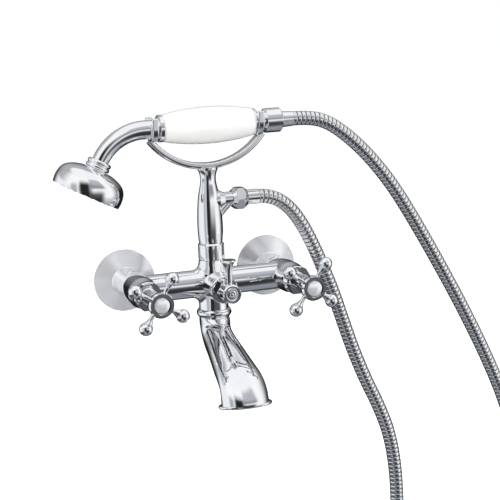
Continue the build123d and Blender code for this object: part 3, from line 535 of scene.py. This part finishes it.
@dataclass
class Diverter(SubAssembly):
    """Diverter valve with its lever and turned cap."""

    nodes: tuple[str, ...] = ("diverter_bonnet", "diverter_drum", "diverter_o_ring", "diverter_screw",
                              "diverter_lever", "diverter_cap")
    cap: str = "diverter_cap"

    def build(self, materials: Materials) -> None:
        """Dress the nodes and turn rings on the cap.

        Args:
            materials: Materials by slot.
        """
        self.dress(materials)
        low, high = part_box(self.cap)
        centre = ((low[0] + high[0]) / 2, (low[2] + high[2]) / 2)
        coat(self.cap, TurnedFinish("turned_chrome", CHROME.bright, CHROME.dull, CHROME.smooth, CHROME.rough,
                                    centre=centre).material())


@dataclass
class Riser(SubAssembly):
    """Riser with its sleeve nut, and the cradle that holds the hand shower."""

    nodes: tuple[str, ...] = ("riser_nut", "riser_washer", "riser_snap_ring", "riser_column", "cradle_stud",
                              "handset_cradle")


@dataclass
class BathSpout(SubAssembly):
    """Curved spout with its collar and flow straightener."""

    nodes: tuple[str, ...] = ("bath_spout", "spout_collar", "spout_washer", "flow_straightener")


@dataclass
class HandShower(SubAssembly):
    """Hand shower: bent neck, bell-shaped head, porcelain grip and tail."""

    nodes: tuple[str, ...] = ("handset_neck", "head_collar", "shower_head", "head_gasket", "spray_face",
                              "front_ferrule", "handset_grip", "water_tube", "handset_tail")
    face: str = "spray_face"
    face_tilt: float = 62.0
    face_thickness: float = 0.003
    hole_radius: float = 0.0008
    hole_rings: tuple[int, ...] = (6, 12, 18)
    ring_pitch: float = 0.008
    nozzle: tuple[Pair, ...] = (
        (0.0, -0.0006), (0.0, 0.0009), (0.0003, 0.0011), (0.0006, 0.0010), (0.0008, 0.0006), (0.0012, 0.0000),
        (0.0012, -0.0002))
    sides: int = 16

    def build(self, materials: Materials) -> None:
        """Dress the nodes and fit the spray nozzles.

        Args:
            materials: Materials by slot.
        """
        self.dress(materials)
        nozzles = self.nozzles(materials[Slot.RUBBER])
        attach(nozzles, Body.HANDSET.value)
        LOG.info("%s, %d of them", nozzles.name, sum(self.hole_rings))

    def nozzles(self, finish: bpy.types.Material) -> bpy.types.Object:
        """Make a soft nozzle in each hole of the spray face.

        Args:
            finish: Rubber of the nozzles.

        Returns:
            All the nozzles as one piece.
        """
        low, high = (Vector(corner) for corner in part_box(self.face))
        tilt = math.radians(self.face_tilt)
        out = Vector((-math.cos(tilt), 0.0, -math.sin(tilt)))
        side = Vector((0.0, 1.0, 0.0))
        above = out.cross(side)
        face = (low + high) / 2 + out * self.face_thickness / 2
        verts: list[Vector] = []
        faces: list[Face] = []
        for ring, count in enumerate(self.hole_rings):
            for index in range(count):
                turn = 2.0 * math.pi * index / count
                spot = face + self.ring_pitch * (ring + 1) * (math.cos(turn) * side + math.sin(turn) * above)
                first = len(verts)
                for width, height in self.nozzle:
                    for step in range(self.sides):
                        angle = 2.0 * math.pi * step / self.sides
                        spoke = math.cos(angle) * side + math.sin(angle) * above
                        verts.append(spot + out * height + spoke * (self.hole_radius + width))
                rows = len(self.nozzle)
                for row in range(rows):
                    here, there = first + row * self.sides, first + (row + 1) % rows * self.sides
                    for step in range(self.sides):
                        nearby = (step + 1) % self.sides
                        faces.append((here + step, there + step, there + nearby, here + nearby))
        return new_piece("spray_nozzles", verts, faces, finish)


@dataclass
class Hose(SubAssembly):
    """Ribbed steel hose from the riser's side outlet, round a hanging loop, to the hand shower."""

    nodes: tuple[str, ...] = (
        "hose_riser_run", "hose_loop", "hose_handset_run", "riser_hose_nut", "riser_hose_ferrule",
        "riser_hose_washer", "handset_hose_nut", "handset_hose_ferrule", "handset_hose_washer")
    runs: int = 3
    depth: float = -0.055
    outer_radius: float = 0.0070
    valley_radius: float = 0.0061
    rib_pitch: float = 0.0045
    sides: int = 30
    spline_steps: int = 16
    spline_order: int = 3
    # Each entry gives a place along one rib and how deep the ring lies in the rib's hollow; that share also
    # sets the hose's painted shade.
    rib_profile: tuple[Pair, ...] = (
        (0.0, 1.0), (0.08, 1.0), (0.14, 0.30), (0.22, 0.05), (0.34, 0.0), (0.76, 0.0), (0.88, 0.05),
        (0.95, 0.40))
    route: tuple[Pair, ...] = (
        (0.0502, 0.0865), (0.0585, 0.0865), (0.0735, 0.0808), (0.0865, 0.0685), (0.0970, 0.0520),
        (0.1065, 0.0325), (0.1170, 0.0070), (0.1270, -0.0190), (0.1360, -0.0480), (0.1465, -0.0800),
        (0.1590, -0.1120), (0.1740, -0.1440), (0.1850, -0.1750), (0.1905, -0.2100), (0.1920, -0.2460),
        (0.1915, -0.2830), (0.1970, -0.3155), (0.2140, -0.3415), (0.2400, -0.3580), (0.2710, -0.3615),
        (0.3005, -0.3520), (0.3235, -0.3310), (0.3365, -0.3020), (0.3380, -0.2690), (0.3360, -0.2310),
        (0.3300, -0.1920), (0.3165, -0.1485), (0.2960, -0.1005), (0.2715, -0.0505), (0.2450, -0.0010),
        (0.2205, 0.0425), (0.2000, 0.0765), (0.1840, 0.0990), (0.1655, 0.1210), (0.1465, 0.1390),
        (0.1275, 0.1530), (0.1080, 0.1595), (0.0884, 0.1595))

    def centre_line(self) -> list[Vector]:
        """Points read from the route's smooth spline.

        Returns:
            Points in the shared frame, from the riser to the hand shower.
        """
        curve = bpy.data.curves.new("hose_line", "CURVE")
        curve.dimensions = "3D"
        curve.resolution_u = self.spline_steps
        spline = curve.splines.new("NURBS")
        spline.points.add(len(self.route) - 1)
        for point, (x, z) in zip(spline.points, self.route):
            point.co = (x, self.depth, z, 1.0)
        spline.order_u = self.spline_order
        spline.use_endpoint_u = True
        holder = bpy.data.objects.new("hose_line", curve)
        bpy.context.scene.collection.objects.link(holder)
        bpy.context.view_layer.update()
        mesh = bpy.data.meshes.new_from_object(holder)
        line = [vertex.co.copy() for vertex in mesh.vertices]
        bpy.data.objects.remove(holder)
        bpy.data.meshes.remove(mesh)
        return line

    def rings(self, length: float) -> list[Triple]:
        """Ring places along the hose, from the profile of one rib.

        Args:
            length: Length of the hose.

        Returns:
            Place along the hose, radius and groove share of each ring.
        """
        count = round(length / self.rib_pitch)
        pitch = length / count
        deep = self.outer_radius - self.valley_radius
        made = [((rib + share) * pitch, self.outer_radius - deep * groove_depth_and_shade, groove_depth_and_shade)
                for rib in range(count) for share, groove_depth_and_shade in self.rib_profile]
        return made + [(length, self.valley_radius, 1.0)]

    def build(self, materials: Materials) -> None:
        """Dress the end fittings and make the ribbed tube in place of the CAD runs.

        Args:
            materials: Materials by slot.
        """
        self.dress(materials)
        line = self.centre_line()
        reach = [0.0]
        for before, after in zip(line, line[1:]):
            reach.append(reach[-1] + (after - before).length)
        length = reach[-1]
        verts: list[Vector] = []
        painted_groove_shade: list[float] = []
        leg = 0
        rings = self.rings(length)
        side = Vector((0.0, 1.0, 0.0))
        for place, radius, groove_depth_and_shade in rings:
            while leg < len(line) - 2 and reach[leg + 1] < place:
                leg += 1
            share = (place - reach[leg]) / (reach[leg + 1] - reach[leg])
            centre = line[leg].lerp(line[leg + 1], share)
            ahead, behind = line[min(leg + 2, len(line) - 1)], line[max(leg - 1, 0)]
            across = (ahead - behind).normalized().cross(side)
            for step in range(self.sides):
                turn = 2.0 * math.pi * step / self.sides
                verts.append(centre + radius * (math.cos(turn) * side + math.sin(turn) * across))
                # Painted shade share of each point, darkest at the bottom of a hollow.
                painted_groove_shade.append(NOISE_LOW + (NOISE_HIGH - NOISE_LOW) * groove_depth_and_shade)
        faces: list[Face] = []
        for ring in range(len(rings) - 1):
            for step in range(self.sides):
                nearby = (step + 1) % self.sides
                first, second = ring * self.sides, (ring + 1) * self.sides
                faces.append((first + step, first + nearby, second + nearby, second + step))
        faces.append(tuple(reversed(range(self.sides))))
        faces.append(tuple(range((len(rings) - 1) * self.sides, len(rings) * self.sides)))
        hose = new_piece("shower_hose", verts, faces, materials[Slot.HOSE])
        # The painted shade shares go into a point attribute that the hose's material reads.
        hose.data.attributes.new("groove_depth_and_shade", "FLOAT", "POINT").data.foreach_set("value", painted_groove_shade)
        first, last = line[0], line[-1]
        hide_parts(*self.nodes[:self.runs])
        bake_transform(hose)
        LOG.info("%s, %.3f m, %d rings", hose.name, length, len(rings))


@dataclass(frozen=True)
class Flag:
    """Curved card that only mirrors see, from its hollow side, placed by angles about the mixer's middle.

    Azimuths are in degrees from the front camera, positive to its right, and elevations are in degrees from
    the horizon. The tones run from the lower edge, 0, to the upper edge, 1. The fades are the shares of the
    width or height over which the left, right, lower and upper edges thin out.
    """

    name: str
    azimuths: Pair
    elevations: Pair
    tones: tuple[tuple[float, Triple], ...]
    fades: Quad
    distance: float
    steps: int = 24

    def mesh(self, front: float) -> bpy.types.Mesh:
        """Make the card as a patch of a sphere.

        Args:
            front: Compass angle of the camera, in radians.

        Returns:
            The patch, with its width and height as coordinates.
        """
        verts: list[Vector] = []
        faces: list[Face] = []
        shares: list[Pair] = []
        left, right = self.azimuths
        low, high = self.elevations
        for row in range(self.steps + 1):
            lift = math.radians(low + (high - low) * row / self.steps)
            for column in range(self.steps + 1):
                share = column / self.steps
                turn = front + math.radians(left + (right - left) * share)
                level = math.cos(lift)
                line = Vector((level * math.cos(turn), level * math.sin(turn), math.sin(lift)))
                verts.append(Vector(MIDDLE) + self.distance * line)
                shares.append((share, row / self.steps))
        wide = self.steps + 1
        for row in range(self.steps):
            for column in range(self.steps):
                corner = row * wide + column
                faces.append((corner, corner + 1, corner + wide + 1, corner + wide))
        mesh = bpy.data.meshes.new(self.name)
        mesh.from_pydata(verts, [], faces)
        layer = mesh.uv_layers.new(name="card")
        for loop in mesh.loops:
            layer.data[loop.index].uv = shares[loop.vertex_index]
        return mesh

    def material(self) -> bpy.types.Material:
        """Make the card's even glow, with its tones and thin edges.

        Returns:
            The glowing material, clear where the card thins out.
        """
        material = bpy.data.materials.new(self.name)
        material.use_nodes = True
        tree = material.node_tree
        tree.nodes.clear()
        place = tree.nodes.new("ShaderNodeUVMap")
        split = tree.nodes.new("ShaderNodeSeparateXYZ")
        tree.links.new(place.outputs["UV"], split.inputs["Vector"])
        tone = tree.nodes.new("ShaderNodeValToRGB")
        self.fill(tone, [(share, (*colour, 1.0)) for share, colour in self.tones])
        tree.links.new(split.outputs["Y"], tone.inputs["Fac"])
        cover = tree.nodes.new("ShaderNodeMath")
        cover.operation = "MULTIPLY"
        left, right, lower, upper = self.fades
        for entry, axis, start, end in ((0, "X", left, right), (1, "Y", lower, upper)):
            edge = tree.nodes.new("ShaderNodeValToRGB")
            edge.color_ramp.interpolation = "EASE"
            thin, solid = (0.0, 0.0, 0.0, 1.0), (1.0, 1.0, 1.0, 1.0)
            self.fill(edge, [(0.0, thin if start else solid), (start, solid), (1.0 - end, solid),
                             (1.0, thin if end else solid)])
            tree.links.new(split.outputs[axis], edge.inputs["Fac"])
            tree.links.new(edge.outputs["Color"], cover.inputs[entry])
        facing = tree.nodes.new("ShaderNodeNewGeometry")
        hollow = tree.nodes.new("ShaderNodeMath")
        hollow.operation = "MULTIPLY"
        tree.links.new(cover.outputs[0], hollow.inputs[0])
        tree.links.new(facing.outputs["Backfacing"], hollow.inputs[1])
        glow = tree.nodes.new("ShaderNodeEmission")
        tree.links.new(tone.outputs["Color"], glow.inputs["Color"])
        clear = tree.nodes.new("ShaderNodeBsdfTransparent")
        mix = tree.nodes.new("ShaderNodeMixShader")
        tree.links.new(hollow.outputs[0], mix.inputs["Fac"])
        tree.links.new(clear.outputs[0], mix.inputs[1])
        tree.links.new(glow.outputs[0], mix.inputs[2])
        out = tree.nodes.new("ShaderNodeOutputMaterial")
        tree.links.new(mix.outputs[0], out.inputs["Surface"])
        return material

    def fill(self, ramp: bpy.types.Node, stops: list[tuple[float, Quad]]) -> None:
        """Set the stops of a colour ramp.

        Args:
            ramp: Colour ramp node.
            stops: Place and colour of each stop.
        """
        elements = ramp.color_ramp.elements
        while len(elements) < len(stops):
            elements.new(0.5)
        for element, (place, colour) in zip(elements, stops):
            element.position = place
            element.color = colour


def grey(level: float, blue: float = 0.06) -> Triple:
    """A grey with a little blue in it."""
    return (level * (1.0 - blue / 2), level, level * (1.0 + blue))


@dataclass
class Studio:
    """Camera, lamps, floor, background and the flags that the chrome mirrors."""

    eye: Triple = (-0.4314, -1.4133, 0.2971)
    right: Triple = (0.9489, -0.3123, -0.0455)
    up: Triple = (0.1052, 0.1770, 0.9786)
    sensor: float = 36.0
    lens: float = 107.0
    shift: Pair = (0.0712, 0.0658)
    clip: Pair = (0.01, 50.0)
    lamps: tuple[tuple[str, Triple, Pair, float], ...] = (
        ("left_softbox", (-1.5, -1.5, 1.1), (1.0, 1.4), 26.0),
        ("right_softbox", (1.7, -1.3, 0.9), (0.8, 1.4), 16.0),
        ("top_softbox", (0.0, -0.5, 1.7), (1.4, 0.9), 14.0))
    floor_height: float = -0.385
    floor_half: float = 6.0
    floor_dark: Triple = (0.88, 0.88, 0.88)
    floor_light: Triple = (0.91, 0.91, 0.91)
    floor_roughness: float = 0.9
    fill_strength: float = 0.55
    floor_glow: float = 0.55
    flags: tuple[Flag, ...] = (
        Flag("camera_flag", (-34.0, 22.0), (-44.0, 46.0), (
            (0.0, grey(0.05, 0.12)), (0.30, grey(0.022)), (1.0, grey(0.018))),
            (0.26, 0.40, 0.22, 0.28), 1.80),
        Flag("front_flag", (-6.0, 66.0), (-74.0, 10.0), (
            (0.0, grey(0.22, 0.14)), (0.25, grey(0.04, 0.14)), (0.55, grey(0.03, 0.12)),
            (0.75, grey(0.11, 0.12)), (1.0, grey(0.20, 0.12))), (0.26, 0.34, 0.25, 0.28), 1.86),
        Flag("rear_flag", (82.0, 254.0), (-70.0, 48.0), (
            (0.0, grey(0.015)), (0.60, grey(0.015)), (0.70, grey(0.13)), (0.84, grey(0.34)),
            (1.0, grey(0.45))), (0.28, 0.20, 0.20, 0.24), 1.95),
        Flag("side_flag", (-60.0, -28.0), (-45.0, 34.0), ((0.0, grey(0.45)), (1.0, grey(0.45))),
             (0.40, 0.35, 0.25, 0.25), 2.00),
        Flag("left_card", (-128.0, -22.0), (-45.0, 25.0), ((0.0, grey(0.90)), (1.0, grey(0.90))),
             (0.15, 0.15, 0.20, 0.20), 2.05),
        Flag("upper_left_card", (-215.0, -60.0), (16.0, 64.0), ((0.0, grey(0.46)), (1.0, grey(0.46))),
             (0.15, 0.30, 0.20, 0.25), 2.10),
        Flag("upper_front_card", (4.0, 74.0), (5.0, 58.0), (
            (0.0, grey(0.26, 0.10)), (0.30, grey(0.34, 0.08)), (0.50, grey(0.48)), (1.0, grey(0.55))),
            (0.20, 0.30, 0.20, 0.25), 2.15),
        Flag("left_floor_flag", (-150.0, -18.0), (-66.0, -24.0), (
            (0.0, grey(0.10, 0.12)), (1.0, grey(0.07, 0.12))), (0.15, 0.20, 0.20, 0.25), 1.92),
        Flag("sky_card", (-180.0, 180.0), (48.0, 90.0), ((0.0, grey(0.96, 0.02)), (1.0, grey(0.94, 0.02))),
             (0.0, 0.0, 0.30, 0.0), 2.30),
        Flag("ground_card", (-180.0, 180.0), (-90.0, -16.0), (
            (0.0, grey(0.20, 0.14)), (0.33, grey(0.28, 0.14)), (0.55, grey(0.34, 0.12)),
            (0.72, grey(0.46, 0.08)), (0.86, grey(0.70)), (1.0, grey(0.90))), (0.0, 0.0, 0.0, 0.14), 2.35),
    )

    def camera(self) -> None:
        """Place the camera at the photograph's angle."""
        data = bpy.data.cameras.new("camera")
        data.sensor_width = self.sensor
        data.lens = self.lens
        data.shift_x, data.shift_y = self.shift
        data.clip_start, data.clip_end = self.clip
        camera = bpy.data.objects.new("camera", data)
        right, up = Vector(self.right).normalized(), Vector(self.up)
        back = right.cross(up).normalized()
        up = back.cross(right)
        camera.matrix_world = Matrix.Translation(self.eye) @ Matrix((right, up, back)).transposed().to_4x4()
        bpy.context.scene.collection.objects.link(camera)
        bpy.context.scene.camera = camera

    def background(self) -> None:
        """White background for the camera and mirrors, softer light for plain surfaces."""
        world = bpy.data.worlds.new("studio")
        world.use_nodes = True
        tree = world.node_tree
        shade = tree.nodes["Background"]
        shade.inputs["Color"].default_value = (1.0, 1.0, 1.0, 1.0)
        path = tree.nodes.new("ShaderNodeLightPath")
        seen = tree.nodes.new("ShaderNodeMath")
        seen.operation = "MAXIMUM"
        mirrored = tree.nodes.new("ShaderNodeMath")
        mirrored.operation = "MAXIMUM"
        tree.links.new(path.outputs["Is Glossy Ray"], mirrored.inputs[0])
        tree.links.new(path.outputs["Is Transmission Ray"], mirrored.inputs[1])
        tree.links.new(path.outputs["Is Camera Ray"], seen.inputs[0])
        tree.links.new(mirrored.outputs[0], seen.inputs[1])
        level = tree.nodes.new("ShaderNodeMapRange")
        level.inputs["To Min"].default_value = self.fill_strength
        level.inputs["To Max"].default_value = 1.0
        tree.links.new(seen.outputs[0], level.inputs["Value"])
        tree.links.new(level.outputs["Result"], shade.inputs["Strength"])
        bpy.context.scene.world = world

    def flag(self, card: Flag) -> None:
        """Hang a card that only mirrors see.

        Args:
            card: Place, size and tones of the card.
        """
        towards = Vector(self.eye) - Vector(MIDDLE)
        mesh = card.mesh(math.atan2(towards.y, towards.x))
        mesh.materials.append(card.material())
        hung = bpy.data.objects.new(card.name, mesh)
        hung.visible_camera = False
        hung.visible_diffuse = False
        hung.visible_transmission = False
        hung.visible_shadow = False
        bpy.context.scene.collection.objects.link(hung)

    def lamp(self, name: str, place: Triple, size: Pair, power: float) -> None:
        """Hang a soft lamp that faces the mixer.

        Args:
            name: Name of the lamp.
            place: Where it hangs.
            size: Width and height.
            power: Watts.
        """
        data = bpy.data.lights.new(name, "AREA")
        data.shape = "RECTANGLE"
        data.size, data.size_y = size
        data.energy = power
        lamp = bpy.data.objects.new(name, data)
        lamp.location = place
        lamp.visible_glossy = False
        lamp.rotation_euler = (Vector(MIDDLE) - Vector(place)).to_track_quat("-Z", "Y").to_euler()
        bpy.context.scene.collection.objects.link(lamp)

    def floor(self) -> None:
        """Lay the pale floor below the hose's loop."""
        mesh = bpy.data.meshes.new("floor")
        half, height = self.floor_half, self.floor_height
        corners = [(-half, -half, height), (half, -half, height), (half, half, height), (-half, half, height)]
        mesh.from_pydata(corners, [], [(0, 1, 2, 3)])
        floor = bpy.data.objects.new("floor", mesh)
        shader = Shader("pale_floor")
        speckle = shader.noise(30.0, 3.0)
        shader.tint(speckle.outputs["Fac"], self.floor_dark, self.floor_light)
        shader.constant(Roughness=self.floor_roughness, Specular_IOR_Level=0.0,
                        Emission_Color=(1.0, 1.0, 1.0, 1.0))
        path = shader.node("LightPath")
        seen = shader.maths("MAXIMUM", path.outputs["Is Camera Ray"], path.outputs["Is Glossy Ray"])
        glow = shader.node("MapRange", To_Min=0.0, To_Max=self.floor_glow)
        shader.link(seen, glow.inputs["Value"])
        shader.link(glow.outputs["Result"], shader.surface.inputs["Emission Strength"])
        mesh.materials.append(shader.material)
        floor.visible_glossy = False
        bpy.context.scene.collection.objects.link(floor)

    def build(self) -> None:
        """Set up the whole studio."""
        scene = bpy.context.scene
        scene.view_settings.view_transform = "Standard"
        self.camera()
        self.background()
        self.floor()
        for card in self.flags:
            self.flag(card)
        for lamp in self.lamps:
            self.lamp(*lamp)


def main() -> None:
    """Build the studio and the mixer's sub-assemblies in order."""
    logging.basicConfig(level=logging.INFO)
    materials = {slot: finish.material() for slot, finish in FINISHES.items()}
    Studio().build()
    assemblies = (Hose(), WallUnions(), MixerBody(), Headwork(side=Side.HOT), Headwork(side=Side.COLD),
                  Diverter(), Riser(), BathSpout(), HandShower())
    for assembly in assemblies:
        assembly.build(materials)


if __name__ == "__main__":
    main()
